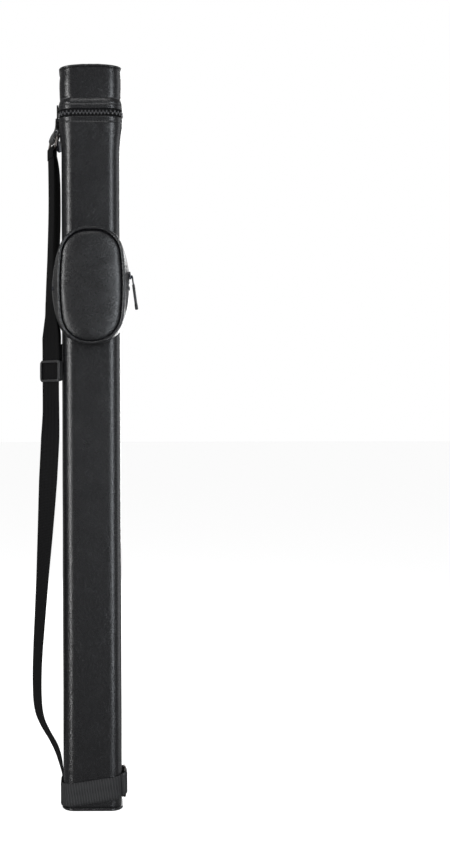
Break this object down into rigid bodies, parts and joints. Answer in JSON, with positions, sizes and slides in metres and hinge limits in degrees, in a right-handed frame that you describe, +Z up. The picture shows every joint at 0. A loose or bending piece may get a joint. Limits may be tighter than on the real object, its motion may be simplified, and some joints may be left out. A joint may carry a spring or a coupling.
{
  "type": "hard cue case",
  "caption": "Upright leatherette cue case with a hinged zipped lid, zipped accessory pouch and webbing shoulder strap.",
  "frame": {"origin": "centre of the case's underside, where it stands", "axes": "+Z up the case towards the lid, -Y out of the pouch's front, -X towards the shoulder strap"},
  "size_m": [0.1202, 0.0881, 0.825],
  "materials": {
    "leatherette": "fine grained, satin",
    "webbing": "ribbed polyester webbing",
    "zip_tape": "woven zip tape",
    "zip_coil": "moulded zip teeth",
    "core_board": "extruded core",
    "stiff_board": "pressed board",
    "foam": "closed-cell foam",
    "lining": "brushed lining",
    "bore_tube": "lined plastic tube",
    "ring_metal": "dark nickel plated wire",
    "buckle_plastic": "moulded, satin",
    "slider_metal": "black enamelled",
    "loop_pile": "looped pile",
    "hook_pile": "hooked pile",
    "pull_cord": "braided cord in a moulded end"
  },
  "bodies": {
    "case_body": {"core_tube": "core_board", "base_board": "stiff_board", "body_cover": "leatherette", "base_panel": "leatherette", "base_piping": "leatherette", "mouth_stiffener": "foam", "zip_tape_lower": "zip_tape", "zip_coil_lower": "zip_coil", "butt_tube": "bore_tube", "shaft_tube_front": "bore_tube", "shaft_tube_rear": "bore_tube", "mouth_plate": "lining", "tube_spacers": "foam", "bottom_pad": "foam", "hinge_tab_lower": "leatherette", "strap_foot": "webbing", "cinch_band": "webbing", "cinch_ring_loop": "webbing", "cinch_ring": "ring_metal", "loop_patch": "loop_pile", "pouch_back_panel": "leatherette", "pouch_gusset_lower": "leatherette", "pouch_gusset_rear": "leatherette", "pouch_tape_rear": "zip_tape", "pouch_coil_rear": "zip_coil", "pouch_panel_lower": "leatherette", "pouch_foam_lower": "foam", "pouch_piping_lower": "leatherette", "pouch_zip_stops": "slider_metal", "pouch_band": "leatherette", "strap_long_ply": "webbing", "strap_short_ply": "webbing"},
    "lid": {"lid_core": "core_board", "lid_top_board": "stiff_board", "lid_cover": "leatherette", "lid_top_panel": "leatherette", "lid_piping": "leatherette", "lid_stiffener": "foam", "lid_lining": "lining", "lid_pad": "foam", "zip_tape_upper": "zip_tape", "zip_coil_upper": "zip_coil", "hinge_tab_upper": "leatherette"},
    "ring": {"strap_ring": "ring_metal", "strap_top_loop": "webbing"},
    "adjuster": {"strap_buckle": "buckle_plastic", "strap_sewn_end": "webbing"},
    "cinch_flap": {"cinch_tail": "webbing", "hook_patch": "hook_pile"},
    "pouch_flap": {"pouch_gusset_front": "leatherette", "pouch_tape_front": "zip_tape", "pouch_coil_front": "zip_coil", "pouch_panel_upper": "leatherette", "pouch_foam_upper": "foam", "pouch_piping_upper": "leatherette"},
    "lid_slider": {"lid_zip_slider": "slider_metal"},
    "lid_pull": {"lid_zip_pull": "slider_metal"},
    "pouch_slider": {"pouch_zip_slider": "slider_metal"},
    "pouch_pull": {"pouch_zip_pull": "pull_cord"}
  },
  "joints": [
    {"name": "lid_hinge", "type": "hinge", "parent": "case_body", "child": "lid", "pos_m": [-0.0378, 0, 0.7705], "axis": [0, -1, 0], "range_deg": [0, 110]},
    {"name": "ring_swing", "type": "hinge", "parent": "case_body", "child": "ring", "pos_m": [-0.041, 0, 0.747], "axis": [-0.2756, 0.9613, 0], "range_deg": [0, 25]},
    {"name": "adjuster_slide", "type": "slide", "parent": "case_body", "child": "adjuster", "axis": [0, 0, 1], "range_m": [-0.012, 0.006]},
    {"name": "pouch_flap_hinge", "type": "hinge", "parent": "case_body", "child": "pouch_flap", "pos_m": [0, -0.0605, 0.577], "axis": [1, 0, 0], "range_deg": [0, 45]},
    {"name": "pouch_zip_travel", "type": "hinge", "parent": "case_body", "child": "pouch_slider", "pos_m": [-0.0887, -0.04, 0.577], "axis": [0, -1, 0], "range_deg": [0, 11]},
    {"name": "pouch_pull_swing", "type": "hinge", "parent": "pouch_slider", "child": "pouch_pull", "pos_m": [0.0458, -0.04, 0.58744], "axis": [0, -1, 0], "range_deg": [0, 100]},
    {"name": "lid_zip_travel", "type": "hinge", "parent": "case_body", "child": "lid_slider", "pos_m": [-0.0195, 0.011, 0.7675], "axis": [0, 0, -1], "range_deg": [0, 52]},
    {"name": "lid_pull_swing", "type": "hinge", "parent": "lid_slider", "child": "lid_pull", "pos_m": [-0.03562, 0.02359, 0.7675], "axis": [0.6157, 0.788, 0], "range_deg": [0, 110]},
    {"name": "cinch_peel", "type": "hinge", "parent": "case_body", "child": "cinch_flap", "pos_m": [0.03575, 0.0055, 0.0268], "axis": [0, 0, -1], "range_deg": [0, 100]}
  ]
}
